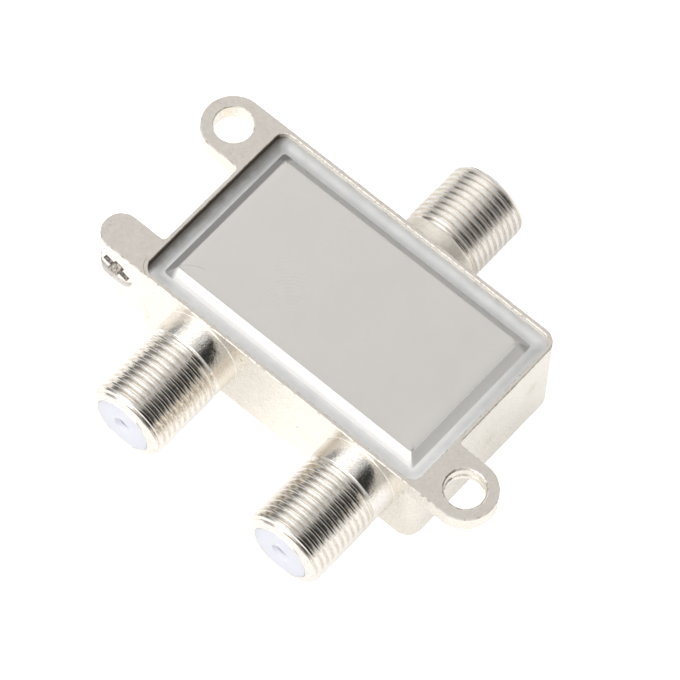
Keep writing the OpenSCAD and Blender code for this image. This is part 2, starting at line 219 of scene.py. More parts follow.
def arc(cx, cy, r, start, end, steps):
    """Points along an arc, angles in degrees."""
    points = []
    for k in range(steps + 1):
        a = math.radians(start + (end - start) * k / steps)
        points.append((cx + r * math.cos(a), cy + r * math.sin(a)))
    return points


def rounded_rect(hx, hy, r, spacing, corner_steps=10):
    """Outline of a rounded rectangle, anticlockwise. Points along its sides are counted from the
    body's size, so that outlines of any inset match."""
    points = []
    corners = [(1, 1, 0), (-1, 1, 90), (-1, -1, 180), (1, -1, 270)]
    for n, (sx, sy, start) in enumerate(corners):
        points += arc(sx * (hx - r), sy * (hy - r), r, start, start + 90, corner_steps)
        a = Vector(points[-1])
        nx, ny, turn = corners[(n + 1) % 4]
        b = Vector(arc(nx * (hx - r), ny * (hy - r), r, turn, turn, 1)[0])
        steps = round(2 * (BODY.x if n % 2 == 0 else BODY.y) / spacing)
        points += [tuple(a.lerp(b, k / steps)) for k in range(1, steps)]
    return points


def wavy(points, amount, scale, seed):
    """Shifts the points of an outline a little, as cast edges wander."""
    moved = []
    for x, y in points:
        shift = noise.noise_vector(Vector((x * scale, y * scale, seed)))
        shift += 0.25 * noise.noise_vector(Vector((x * scale * 3.3, y * scale * 3.3, seed)))
        moved.append((x + amount * shift.x, y + amount * shift.y))
    return moved


def at_height(points, z):
    return [(x, y, z) for x, y in points]


def port_matrix(port):
    """Turns a shape about Z into one on a port's axis, its Z pointing out of the wall."""
    x, side, _, _ = port
    turn = Matrix.Rotation(math.pi if side > 0 else 0.0, 4, "Z")
    return Matrix.Translation((x, side * BODY.y, PORT_Z)) @ turn @ Matrix.Rotation(math.pi / 2, 4, "X")


def screw_matrix():
    """Turns a shape about Z into one on the screw's axis, its Z pointing out of the lug."""
    return Matrix.Translation((SCREW_X, -BODY.y, SCREW_Z)) @ Matrix.Rotation(math.pi / 2, 4, "X")


def placed(mesh, matrix):
    mesh.transform(matrix)
    return mesh


def new_object(name, mesh):
    found = bpy.data.objects.new(name, mesh)
    bpy.context.scene.collection.objects.link(found)
    return found


def boolean(base, mesh, operation):
    """Applies one solid to another."""
    tool = new_object("tool", mesh)
    step = base.modifiers.new("cut", "BOOLEAN")
    step.operation = operation
    step.solver = "MANIFOLD"
    step.object = tool
    bpy.context.view_layer.update()
    shown = base.evaluated_get(bpy.context.evaluated_depsgraph_get())
    made = bpy.data.meshes.new_from_object(shown)
    base.modifiers.clear()
    base.data = made
    bpy.data.objects.remove(tool)


def smooth(piece, angle=32):
    """Smooth shading with sharp edges past an angle, in which large flat faces stay flat."""
    mesh = piece.data
    mesh.polygons.foreach_set("use_smooth", [True] * len(mesh.polygons))
    mesh.set_sharp_from_angle(angle=math.radians(angle))
    step = piece.modifiers.new("normals", "WEIGHTED_NORMAL")
    step.mode = "FACE_AREA_WITH_ANGLE"
    step.weight = 100
    step.keep_sharp = True
    bpy.context.view_layer.update()
    shown = piece.evaluated_get(bpy.context.evaluated_depsgraph_get())
    made = bpy.data.meshes.new_from_object(shown)
    piece.modifiers.clear()
    piece.data = made


def finish_piece(piece, body):
    """Scales a piece to metres and lets it ride."""
    piece.data.transform(Matrix.Scale(MM, 4))
    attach(piece, body)
    return piece


# Casting

def body_solid():
    """Box body with a rounded front edge and a rounded rim edge."""
    def ring(inset, z, wander):
        outline = rounded_rect(BODY.x - inset, BODY.y - inset, CORNER_R - inset, FINE)
        return at_height(wavy(outline, wander, 0.9, z * 0.35), z)

    middle = FRONT_EDGE * 0.35
    rings = [ring(FRONT_EDGE, 0.0, 0.0), ring(middle, middle, 0.0), ring(0.0, FRONT_EDGE, 0.01)]
    levels = 8
    for k in range(1, levels + 1):
        z = FRONT_EDGE + (TOP_Z - EDGE_R - FRONT_EDGE) * k / levels
        rings.append(ring(0.0, z, 0.012 + 0.01 * k / levels))
    for a in (30, 60, 90):
        lean = EDGE_R * (1 - math.cos(math.radians(a)))
        rise = EDGE_R * math.sin(math.radians(a))
        rings.append(ring(lean, TOP_Z - EDGE_R + rise, 0.022))
    return loft("body", rings)


def slab(name, outline, z0, z1):
    """Flat slab with rounded edges, from an outline that is given for an inset."""
    rings = []
    for a in (90, 45, 0):
        lean = EDGE_R * (1 - math.cos(math.radians(a)))
        rings.append(at_height(outline(lean), z0 + EDGE_R * (1 - math.sin(math.radians(a)))))
    for a in (0, 45, 90):
        lean = EDGE_R * (1 - math.cos(math.radians(a)))
        rings.append(at_height(outline(lean), z1 - EDGE_R * (1 - math.sin(math.radians(a)))))
    return loft(name, rings)


def ear_outline(inset):
    """Ear at the corner +X, -Y: round end, straight edges and a fillet against the wall."""
    r = EAR_R - inset
    inside = BODY.x - CORNER_R
    lip = BODY.x - RIM_T / 2
    points = [(inside, -BODY.y + inset)]
    points += arc(EAR.x, -EAR.y, r, -90, 90, 40)
    top = -EAR.y + r
    fillet = FILLET_R + inset
    points += arc(BODY.x + fillet, top + fillet, fillet, 270, 180, 8)
    points.append((lip, top + fillet))
    points.append((lip, top - 1.0))
    points.append((inside, -BODY.y + inset + WALL_LAP))
    return wavy(points, 0.02, 1.1, 3.0)


def lug_outline(inset):
    """Ground lug at the corner -X, -Y: round end, straight edges and a fillet against the wall."""
    r = LUG_W / 2 - inset
    cx = -BODY.x - LUG_REACH + LUG_W / 2
    cy = -BODY.y + LUG_W / 2
    lip = -BODY.x + RIM_T / 2
    points = arc(cx, cy, r, 90, 270, 32)
    points.append((-BODY.x + CORNER_R, -BODY.y + inset))
    points.append((-BODY.x + CORNER_R, -BODY.y + inset + WALL_LAP))
    fillet = FILLET_R + inset
    points.append((lip, cy + r - 1.0))
    points.append((lip, cy + r + fillet))
    points += arc(-BODY.x - fillet, cy + r + fillet, fillet, 0, -90, 8)
    return wavy(points, 0.015, 1.1, 7.0)


def thread_rows(start, end, relief_end, port_seed):
    """Grid of rows that follow the helix, cut by the relief behind it and by the rounded nose."""
    crest = THREAD_R
    root = THREAD_R - THREAD_DEPTH
    flank = crest - CREST_ROUND
    ease = crest - CREST_EASE
    # Share of a turn and radius, from root to root
    shape = [(0.0, root), (0.06, root + 0.01), (0.25, flank), (0.29, ease), (0.34, crest),
             (0.5, crest - CREST_WORN), (0.66, crest), (0.71, ease), (0.75, flank), (0.94, root + 0.01)]
    turns = math.ceil((end - start) / THREAD_PITCH) + 1

    def envelope(z):
        left = min(1.0, max(0.0, (end - z) / NOSE_L))
        nose = NOSE_R + (THREAD_R - NOSE_R) * math.sqrt(1 - (1 - left) ** NOSE_CURVE)
        rise = root + (z - start) * (THREAD_R - root) / (relief_end - start)
        return min(THREAD_R, nose, rise)

    rows = []
    for turn in range(-1, turns):
        for phase, radius in shape:
            row = []
            for k in range(AROUND):
                z = start + (turn + phase + k / AROUND) * THREAD_PITCH
                z = min(max(z, start), end)
                a = 2 * math.pi * k / AROUND
                rough = noise.noise(Vector((4.0 * math.cos(a), 4.0 * math.sin(a), z * 1.3 + port_seed)))
                row.append((min(radius, envelope(z)) - THREAD_WANDER * abs(rough), z))
            rows.append(row)
    return rows, len(shape)


def port_solid(port):
    """Fillet, neck, relief, helical thread and nose of a port, closed inside the wall."""
    x, _, length, neck = port
    foot_r = NECK_R + PORT_FILLET
    inside = -WALL_T * 0.7
    profile = [(0.0, inside), (foot_r, inside), (foot_r, -0.02)]
    profile += arc(foot_r, PORT_FILLET, PORT_FILLET, 270, 180, 6)
    profile += [(NECK_R + 0.01, neck * 0.5), (NECK_R, neck - 0.1), (NECK_R - 0.06, neck - 0.02)]
    profile.append((RELIEF_R, neck + RELIEF_L * 0.2))
    start = neck + RELIEF_L / 3
    rows, per_turn = thread_rows(start, length - NOSE_LIP, neck + RELIEF_L, 3.0 * x)
    nose = [(NOSE_R - NOSE_LIP, length), (NOSE_R - 0.2, length), (0.0, length)]
    lead = [[point] * AROUND for point in profile]
    tail = [[point] * AROUND for point in nose]
    verts = []
    for row in lead + rows + tail:
        for k, (r, z) in enumerate(row):
            a = 2 * math.pi * k / AROUND
            verts.append((r * math.cos(a), r * math.sin(a), z))
    faces = []
    first, last = len(lead), len(lead) + len(rows) - 1
    total = len(lead) + len(rows) + len(tail)
    for j in range(total - 1):
        for k in range(AROUND):
            if k < AROUND - 1:
                low, high, m = j, j + 1, k + 1
            elif first <= j < last:
                low, high, m = min(j + per_turn, last), min(j + 1 + per_turn, last), 0
            else:
                low, high, m = j, j + 1, 0
            faces.append((j * AROUND + k, low * AROUND + m, high * AROUND + m, (j + 1) * AROUND + k))
    faces.append(tuple(range(AROUND - 1, -1, -1)))
    faces.append(tuple((total - 1) * AROUND + k for k in range(AROUND)))
    return clean(mesh_from("port", verts, faces))


def flared(r, z0, z1, flare=EDGE_R):
    """Cutter for a hole whose two ends have rounded edges."""
    mouth = r + flare
    profile = [(0.0, z0 - 1), (mouth, z0 - 1), (mouth, z0)]
    profile += arc(mouth, z0 + flare, flare, 240, 180, 2)
    profile += arc(mouth, z1 - flare, flare, 180, 120, 2)
    profile += [(mouth, z1), (mouth, z1 + 1), (0.0, z1 + 1)]
    return revolve("hole", profile, 64)


def flash():
    """Thin ragged ring of casting flash half way down a hole in an ear."""
    rings = []
    count = 72
    for k in range(count):
        a = 2 * math.pi * k / count
        rag = noise.noise(Vector((2.2 * math.cos(a), 2.2 * math.sin(a), 4.0)))
        fine = noise.noise(Vector((7.0 * math.cos(a), 7.0 * math.sin(a), 9.0)))
        tip = EAR_HOLE_R - max(0.02, 0.07 + 0.16 * rag + 0.1 * fine)
        z = TOP_Z - 0.55 * EAR_T + 0.22 * rag
        section = ((EAR_HOLE_R + 0.2, z - 0.05), (tip, z), (EAR_HOLE_R + 0.2, z + 0.05))
        rings.append([(r * math.cos(a), r * math.sin(a), h) for r, h in section])
    return loft("flash", rings, closed=True)


def recess_cutter():
    """Recess for the cover, with a rounded upper edge."""
    def ring(inset, z, wander):
        inset += RIM_T
        outline = rounded_rect(BODY.x - inset, BODY.y - inset, RECESS_R + RIM_T - inset, FINE)
        return at_height(wavy(outline, wander, 1.0, 11.0 + z * 0.2), z)

    edge_z = TOP_Z - EDGE_R
    rings = [ring(0.0, LEDGE_Z, 0.0), ring(0.0, LEDGE_Z + 0.5, 0.02), ring(0.0, edge_z, RIM_WANDER)]
    for a in (30, 60, 90):
        lean = EDGE_R * (1 - math.cos(math.radians(a)))
        rings.append(ring(-lean, edge_z + EDGE_R * math.sin(math.radians(a)), RIM_WANDER))
    rings.append(ring(-EDGE_R, TOP_Z + 1, RIM_WANDER))
    return loft("recess", rings)


def seat_cutter():
    """Seat with a rounded lip and hole for the ground screw."""
    seat_r = HEAD_R + SEAT_GAP
    hole_r = SHANK_R + 0.05
    end = -SEAT_H - SHANK_L - SEAT_GAP
    lip = [(seat_r, -0.2), (seat_r + 0.04, -0.09), (seat_r + 0.12, -0.02), (seat_r + 0.22, 0.0)]
    return revolve("seat", [(0.0, end), (hole_r, end), (hole_r, -SEAT_H), (seat_r, -SEAT_H)]
                   + lip + [(seat_r + 0.22, 1.0), (0.0, 1.0)], 64)


def bore_cutter(length):
    """Bore of a port for its insulator, with the narrow passage through the wall."""
    inside = -WALL_T - 0.5
    mouth = PORT_BORE_R + BORE_LIP
    return revolve("bore", [
        (0.0, inside), (PASSAGE_R, inside), (PASSAGE_R, SHOULDER_L), (PORT_BORE_R, SHOULDER_L),
        (PORT_BORE_R, length - BORE_LIP), (mouth, length), (mouth, length + 1), (0.0, length + 1)])


def wire_cutter():
    """Blind hole for the ground wire, from the lug's front side."""
    place, dims = mount_mm("ground_wire_hole")
    r = dims["r_mm"]
    mouth = r + EDGE_R
    end = LUG_Z + dims["length_mm"]
    profile = [(0.0, LUG_Z - 1), (mouth, LUG_Z - 1), (mouth, LUG_Z)]
    profile += [(r, LUG_Z + EDGE_R), (r, end), (0.0, end)]
    return placed(revolve("wire_hole", profile, 48), Matrix.Translation((place.x, place.y, 0)))


def casting():
    """The whole die casting."""
    piece = new_object("casting", body_solid())
    for turn in (0.0, math.pi):
        ear = slab("ear", ear_outline, TOP_Z - EAR_T, TOP_Z)
        boolean(piece, placed(ear, Matrix.Rotation(turn, 4, "Z")), "UNION")
    boolean(piece, slab("lug", lug_outline, LUG_Z, TOP_Z), "UNION")
    for port in PORTS.values():
        boolean(piece, placed(port_solid(port), port_matrix(port)), "UNION")
    boolean(piece, recess_cutter(), "DIFFERENCE")
    cavity = rounded_rect(BODY.x - WALL_T, BODY.y - WALL_T, CORNER_R / 2, COARSE)
    boolean(piece, loft("cavity", [at_height(cavity, FRONT_T), at_height(cavity, TOP_Z)]), "DIFFERENCE")
    for port in PORTS.values():
        boolean(piece, placed(bore_cutter(port[2]), port_matrix(port)), "DIFFERENCE")
    for side, flare in ((-1, EDGE_R), (1, EAR_FLARE)):
        hole = flared(EAR_HOLE_R, TOP_Z - EAR_T, TOP_Z, flare)
        boolean(piece, placed(hole, Matrix.Translation((side * EAR.x, -side * EAR.y, 0))), "DIFFERENCE")
    boolean(piece, placed(flash(), Matrix.Translation((EAR.x, -EAR.y, 0))), "UNION")
    boolean(piece, placed(seat_cutter(), screw_matrix()), "DIFFERENCE")
    boolean(piece, wire_cutter(), "DIFFERENCE")
    post_x = BOARD_HI.x - POST_INSET
    post_y = BOARD_HI.y - POST_INSET
    for sx in (-1, 1):
        for sy in (-1, 1):
            post = revolve("post", [
                (0.0, FRONT_T / 2), (POST_R, FRONT_T / 2), (POST_R, BOARD_LO.z), (PEG_R, BOARD_LO.z),
                (PEG_R, BOARD_HI.z + PEG_RISE), (0.0, BOARD_HI.z + PEG_RISE)], 32)
            boolean(piece, placed(post, Matrix.Translation((sx * post_x, sy * post_y, 0))), "UNION")
    return piece


# Cover, seam and screw

def cover():
    """Stamped cover: flange, small foot radius, sloping side, rolled edge and a nearly flat panel."""
    # Inset from the body's sides and depth below the rim, from the flange to the panel
    side = [(FOOT_INSET, FLANGE_DOWN), (2.06, 1.16), (2.2, 1.05), (2.45, 0.8), (2.95, 0.34), (3.02, 0.28),
            (3.1, 0.245), (3.3, 0.225), (3.9, TOP_Z - PANEL_Z)]

    def ring(inset, z, r):
        return at_height(rounded_rect(BODY.x - inset, BODY.y - inset, r, 0.6, 8), z)

    flange = BODY.x - cover_hi.x
    rings = [ring(flange, LEDGE_Z, RECESS_R), ring(flange, LEDGE_Z + SHEET_T, RECESS_R)]
    for inset, down in side:
        radius = max(SHARPEST_R, FOOT_R - 0.4 * (inset - FOOT_INSET))
        rings.append(ring(inset, TOP_Z - down, radius))
    return new_object("cover", loft("cover", rings))


def seam():
    """Solder between cover and rim, a hollow fillet whose surface wanders a little."""
    flange_z = TOP_Z - FLANGE_DOWN
    under = flange_z - 0.02
    steps = 10

    def ring(inset, z, r, wander):
        points = []
        for x, y in rounded_rect(BODY.x - inset, BODY.y - inset, r, 0.5):
            swell = noise.noise(Vector((x * 0.45, y * 0.45, 2.0)))
            swell += 0.5 * noise.noise(Vector((x, y, 5.0)))
            points.append((x, y, z + wander * swell))
        return points

    rings = [ring(RIM_T, under, RECESS_R, 0.0)]
    for k in range(steps + 1):
        t = k / steps
        inset = RIM_T + (SEAM_INSET - RIM_T) * t
        height = flange_z + 0.03 + SEAM_RISE * (0.5 + 0.5 * math.cos(math.pi * t))
        rings.append(ring(inset, height, RECESS_R - 0.7 * t, SEAM_WANDER * (1 - t)))
    rings.append(ring(SEAM_INSET, under, RECESS_R - 0.7, 0.0))
    return new_object("seam", loft("seam", rings, closed=True))


def screw():
    """Ground screw: low head with a cross recess, and a threaded shank."""
    tip = 0.3
    neck_r = SHANK_R - 0.15
    profile = [(0.0, -SHANK_L), (SHANK_R - 0.35, -SHANK_L), (SHANK_R - 0.05, -SHANK_L + tip)]
    for k in range(int((SHANK_L - 0.5) / SCREW_PITCH)):
        z = -SHANK_L + tip + k * SCREW_PITCH
        profile += [(SHANK_R - SCREW_DEPTH, z + 0.1), (SHANK_R, z + 0.25)]
    profile += [(neck_r, -0.08), (neck_r, 0.0), (HEAD_R - 0.05, 0.0), (HEAD_R, 0.06)]
    profile += [(HEAD_R, HEAD_T - 0.22), (HEAD_R - 0.06, HEAD_T - 0.09), (HEAD_R - 0.2, HEAD_T - 0.02)]
    profile += [(HEAD_R - 0.6, HEAD_T), (0.0, HEAD_T)]
    piece = new_object("screw", revolve("screw", profile, 64))
    for turn in (0.0, math.pi / 2):
        rings = []
        for down, share in ((CROSS_DEEP, 0.4), (0.5, 0.75), (0.0, 1.0), (-0.5, 1.0)):
            outline = rounded_rect(CROSS_L / 2 * share, CROSS_W / 2 * share, 0.1 * share, COARSE, 3)
            rings.append(at_height(outline, HEAD_T - down))
        arm = loft("arm", rings)
        boolean(piece, placed(arm, Matrix.Rotation(turn - CROSS_TURN, 4, "Z")), "DIFFERENCE")
    piece.data.transform(screw_matrix() @ Matrix.Translation((0, 0, -SEAT_H)))
    return piece


# Materials

def set_or_link(tree, value, socket):
    """Gives a socket a number or the output of another node."""
    if isinstance(value, (int, float)):
        socket.default_value = value
    else:
        tree.links.new(value, socket)


def scaled(tree, vector, factor):
    node = tree.nodes.new("ShaderNodeVectorMath")
    node.operation = "SCALE"
    tree.links.new(vector, node.inputs[0])
    set_or_link(tree, factor, node.inputs["Scale"])
    return node.outputs[0]


def stretched(tree, vector, factors):
    """Vector whose three parts are multiplied by their own factors."""
    node = tree.nodes.new("ShaderNodeVectorMath")
    node.operation = "MULTIPLY"
    node.inputs[1].default_value = factors
    tree.links.new(vector, node.inputs[0])
    return node.outputs[0]


def material(name, metallic, roughness=0.5):
    """New node material: itself, its tree, its main shader and the place on the object in millimetres."""
    made = bpy.data.materials.new(name)
    made.use_nodes = True
    tree = made.node_tree
    shader = tree.nodes["Principled BSDF"]
    shader.inputs["Metallic"].default_value = metallic
    shader.inputs["Roughness"].default_value = roughness
    place = tree.nodes.new("ShaderNodeTexCoord").outputs["Object"]
    return made, tree, shader, scaled(tree, place, 1 / MM)


def noise_node(tree, place, scale, detail=3.0, rough=0.5):
    node = tree.nodes.new("ShaderNodeTexNoise")
    node.inputs["Scale"].default_value = scale
    node.inputs["Detail"].default_value = detail
    node.inputs["Roughness"].default_value = rough
    tree.links.new(place, node.inputs["Vector"])
    return node.outputs["Fac"]


def mapped(tree, value, low, high, to_low, to_high):
    node = tree.nodes.new("ShaderNodeMapRange")
    for key, number in (("From Min", low), ("From Max", high), ("To Min", to_low), ("To Max", to_high)):
        node.inputs[key].default_value = number
    tree.links.new(value, node.inputs["Value"])
    return node.outputs["Result"]


def ramp(tree, value, dark, light, low=0.3, high=0.7):
    """Two shades mixed by a value, all dark at low and all light at high."""
    node = tree.nodes.new("ShaderNodeMix")
    node.data_type = "RGBA"
    node.inputs["A"].default_value = (*dark, 1)
    node.inputs["B"].default_value = (*light, 1)
    tree.links.new(mapped(tree, value, low, high, 0, 1), node.inputs["Factor"])
    return node.outputs["Result"]


def over(tree, share, under, colour, blend="MIX"):
    """A colour laid over another shade by a share."""
    node = tree.nodes.new("ShaderNodeMix")
    node.data_type = "RGBA"
    node.blend_type = blend
    node.inputs["B"].default_value = (*colour, 1)
    tree.links.new(share, node.inputs["Factor"])
    tree.links.new(under, node.inputs["A"])
    return node.outputs["Result"]


def math_node(tree, operation, a, b):
    node = tree.nodes.new("ShaderNodeMath")
    node.operation = operation
    set_or_link(tree, a, node.inputs[0])
    set_or_link(tree, b, node.inputs[1])
    return node.outputs[0]


def spot(tree, place, centre, radius, soft):
    """One round spot of a given place and radius, with a soft edge."""
    node = tree.nodes.new("ShaderNodeVectorMath")
    node.operation = "DISTANCE"
    node.inputs[1].default_value = centre
    tree.links.new(place, node.inputs[0])
    return mapped(tree, node.outputs["Value"], radius, radius + soft, 1, 0)


def circle_line(tree, place, centre, radius, width, soft):
    """Thin line round a centre, with a soft edge."""
    outer = spot(tree, place, centre, radius, soft)
    return math_node(tree, "SUBTRACT", outer, spot(tree, place, centre, radius - width, soft))


def bump(tree, shader, height, distance):
    """Relief of a given height in millimetres."""
    node = tree.nodes.new("ShaderNodeBump")
    node.inputs["Strength"].default_value = 1.0
    node.inputs["Distance"].default_value = distance * MM
    tree.links.new(height, node.inputs["Height"])
    tree.links.new(node.outputs["Normal"], shader.inputs["Normal"])


NICKEL = (0.86, 0.825, 0.775)
SPECK = (0.72, 0.67, 0.60)

# Small pits of the plating, the faint line of the die and stains: place and radius
PITS = [((-4.45, -BODY.y, 11.15), 0.09), ((3.4, -BODY.y, 6.2), 0.06), ((BODY.x, -3.1, 9.4), 0.07),
        ((BODY.x, 4.4, 3.1), 0.05), ((-16.6, -BODY.y, 10.4), 0.05)]
PITS += [((-17.8 + 0.06 * k, -BODY.y, 6.67 - 0.27 * k), 0.02) for k in range(7)]
STAINS = [((BODY.x, 7.6, 7.7), 0.9), ((BODY.x, 0.9, 5.6), 1.1), ((BODY.x, -4.8, 9.6), 0.6)]


def cast_nickel():
    """Plated casting: satin, with a fine grain, small pits and soft stains."""
    made, tree, shader, place = material("cast_nickel", 1.0)
    grain = noise_node(tree, place, 5.0, 6.0, 0.65)
    cloud = noise_node(tree, place, 0.22, 4.0, 0.55)
    shade = ramp(tree, cloud, (0.87, 0.825, 0.75), (0.93, 0.885, 0.81))
    pit = 0.0
    for centre, radius in PITS:
        pit = math_node(tree, "MAXIMUM", pit, spot(tree, place, centre, radius, 0.06))
    stain = 0.0
    for centre, radius in STAINS:
        stain = math_node(tree, "MAXIMUM", stain, spot(tree, place, centre, radius * 0.3, radius))
    stain = math_node(tree, "MULTIPLY", stain, mapped(tree, grain, 0.35, 0.65, 0.0, 0.7))
    shade = over(tree, stain, shade, (0.66, 0.60, 0.42))
    shade = over(tree, pit, shade, (0.30, 0.27, 0.23))
    tree.links.new(shade, shader.inputs["Base Color"])
    tree.links.new(mapped(tree, grain, 0.3, 0.7, 0.22, 0.36), shader.inputs["Roughness"])
    relief = math_node(tree, "SUBTRACT", grain, math_node(tree, "MULTIPLY", pit, 3.0))
    bump(tree, shader, relief, 0.02)
    return made


# Line that the body's corner leaves on the lug's top: centre of the corner and middle of the line
CORNER_CENTRE = (-BODY.x + CORNER_R, -BODY.y + CORNER_R, TOP_Z)
CORNER_LINE = (-BODY.x + 0.5, -BODY.y + 0.6, TOP_Z)


def top_nickel():
    """Plated tops of the rim, the ears and the lug: duller, with a fine even grain, and a base colour
    darker than the walls' as painted shade.
    """
    made, tree, shader, place = material("top_nickel", 1.0)
    grain = noise_node(tree, place, 7.0, 6.0, 0.75)
    cloud = noise_node(tree, place, 2.2, 6.0, 0.7)
    # Painted shade: the tops get a base colour darker than the walls' nickel
    shade = ramp(tree, cloud, (0.615, 0.575, 0.525), (0.71, 0.67, 0.615))
    speck = mapped(tree, noise_node(tree, place, 3.2, 2.0, 0.8), 0.66, 0.74, 0.0, 0.55)
    shade = over(tree, speck, shade, (0.36, 0.31, 0.26))
    line = circle_line(tree, place, CORNER_CENTRE, CORNER_R - 0.02, 0.07, 0.03)
    line = math_node(tree, "MULTIPLY", line, spot(tree, place, CORNER_LINE, 0.9, 0.5))
    line = math_node(tree, "MULTIPLY", line, mapped(tree, grain, 0.35, 0.6, 0.2, 0.9))
    shade = over(tree, line, shade, (0.22, 0.19, 0.16))
    tree.links.new(shade, shader.inputs["Base Color"])
    tree.links.new(mapped(tree, grain, 0.3, 0.7, 0.38, 0.58), shader.inputs["Roughness"])
    bump(tree, shader, grain, 0.03)
    return made


def edge_nickel():
    """Edges of the tops, broken up by trimming: bright with short dark stretches."""
    made, tree, shader, place = material("edge_nickel", 1.0, 0.4)
    chips = noise_node(tree, place, 2.6, 6.0, 0.75)
    shade = ramp(tree, chips, (0.40, 0.35, 0.30), (0.80, 0.755, 0.70), 0.38, 0.52)
    tree.links.new(shade, shader.inputs["Base Color"])
    bump(tree, shader, chips, 0.02)
    return made


def speckled_nickel(tree, shader, place):
    """Base colour of the ports: nickel with faint brown specks."""
    specks = noise_node(tree, place, 5.0, 2.0, 0.6)
    tree.links.new(ramp(tree, specks, SPECK, NICKEL, 0.34, 0.46), shader.inputs["Base Color"])


def neck_nickel():
    """Plated neck as cast: glossy over a fine grain that breaks up what it mirrors."""
    made, tree, shader, place = material("neck_nickel", 1.0)
    fine = noise_node(tree, place, 4.5, 3.0, 0.7)
    coarse = noise_node(tree, place, 1.4, 2.0, 0.5)
    both = math_node(tree, "ADD", fine, math_node(tree, "MULTIPLY", coarse, 1.2))
    tree.links.new(mapped(tree, fine, 0.3, 0.7, 0.1, 0.24), shader.inputs["Roughness"])
    speckled_nickel(tree, shader, place)
    bump(tree, shader, both, 0.024)
    return made


def turned_nickel(name, smoothest, roughest, worn_x=None):
    """Plated thread with fine turning lines.
    On the port at worn_x the crests are duller than the roots."""
    made, tree, shader, place = material(name, 1.0)
    lines = noise_node(tree, stretched(tree, place, (0.25, 9.0, 0.25)), 1.0, 3.0, 0.6)
    grain = noise_node(tree, place, 4.5, 3.0, 0.7)
    both = math_node(tree, "ADD", lines, math_node(tree, "MULTIPLY", grain, 0.7))
    dull = mapped(tree, grain, 0.3, 0.7, smoothest, roughest)
    if worn_x is not None:
        root = THREAD_R - THREAD_DEPTH
        across = stretched(tree, place, (1, 0, 1))
        groove = spot(tree, across, (worn_x, 0, PORT_Z), root, THREAD_DEPTH - 0.14)
        dull = math_node(tree, "MULTIPLY", dull, mapped(tree, groove, 0, 1, 1.0, 0.36))
    tree.links.new(dull, shader.inputs["Roughness"])
    speckled_nickel(tree, shader, place)
    bump(tree, shader, both, 0.015)
    return made


# Finger mark on the panel, centre of its ridges, and hairline scratch with the centre of its curve
SMUDGE = Vector((-6.0, -2.2, PANEL_Z))
RIDGE_CENTRE = Vector((-3.0, -5.2, 0.0))
SCRATCH = (-14.8, -7.2, PANEL_Z)
SCRATCH_R = 4.5
SCRATCH_CENTRE = (-12.57, -11.11, PANEL_Z)


def tin():
    """Tinned sheet: satin, with a faint rolling grain, a finger mark and a scratch."""
    made, tree, shader, place = material("tin", 1.0)
    grain = noise_node(tree, place, 6.0, 5.0, 0.6)
    cloud = noise_node(tree, place, 0.12, 3.0, 0.5)
    shade = ramp(tree, cloud, (0.53, 0.512, 0.487), (0.552, 0.534, 0.509))
    tree.links.new(mapped(tree, grain, 0.3, 0.7, 0.3, 0.4), shader.inputs["Roughness"])
    bump(tree, shader, grain, 0.003)
    ridges = tree.nodes.new("ShaderNodeTexWave")
    ridges.wave_type = "RINGS"
    ridges.rings_direction = "Z"
    ridges.inputs["Scale"].default_value = 0.7
    ridges.inputs["Distortion"].default_value = 6.0
    ridges.inputs["Detail Scale"].default_value = 0.4
    ridges.inputs["Detail"].default_value = 1.0
    shift = tree.nodes.new("ShaderNodeVectorMath")
    shift.operation = "SUBTRACT"
    shift.inputs[1].default_value = RIDGE_CENTRE
    tree.links.new(place, shift.inputs[0])
    tree.links.new(shift.outputs[0], ridges.inputs["Vector"])
    patchy = mapped(tree, noise_node(tree, place, 1.0, 3.0, 0.6), 0.4, 0.58, 0.1, 1.0)
    mark = math_node(tree, "MULTIPLY", spot(tree, place, SMUDGE, 0.8, 3.2), patchy)
    mark = math_node(tree, "MULTIPLY", ridges.outputs["Fac"], mark)
    shade = over(tree, mark, shade, (0.945, 0.943, 0.94), "MULTIPLY")
    line = circle_line(tree, place, SCRATCH_CENTRE, SCRATCH_R, 0.06, 0.02)
    line = math_node(tree, "MULTIPLY", line, spot(tree, place, SCRATCH, 1.1, 0.3))
    shade = over(tree, line, shade, (0.40, 0.38, 0.35))
    tree.links.new(shade, shader.inputs["Base Color"])
    return made


def bent_tin():
    """Tinned sheet on the drawn bevel: rougher than the panel, painted much brighter than it as painted
    light, and darker on its -X and +Y sides as painted shade.
    """
    made, tree, shader, place = material("bent_tin", 1.0, 0.7)
    grain = noise_node(tree, place, 4.0, 4.0, 0.6)
    # Painted light: the bevel's tin gets a base colour much brighter than the panel's tin
    shade = ramp(tree, grain, (0.90, 0.89, 0.875), (0.95, 0.94, 0.925))
    split = tree.nodes.new("ShaderNodeSeparateXYZ")
    tree.links.new(place, split.inputs[0])
    # Painted shade: the bevel is darkened on its -X and +Y sides
    painted_shade_x = mapped(tree, split.outputs["X"], -BODY.x + 2.9, -BODY.x + 3.4, 0.5, 1.0)
    painted_shade_y = mapped(tree, split.outputs["Y"], BODY.y - 3.3, BODY.y - 2.9, 1.0, 0.72)
    painted_shade = math_node(tree, "MULTIPLY", painted_shade_x, painted_shade_y)
    tree.links.new(scaled(tree, shade, painted_shade), shader.inputs["Base Color"])
    bump(tree, shader, grain, 0.006)
    return made


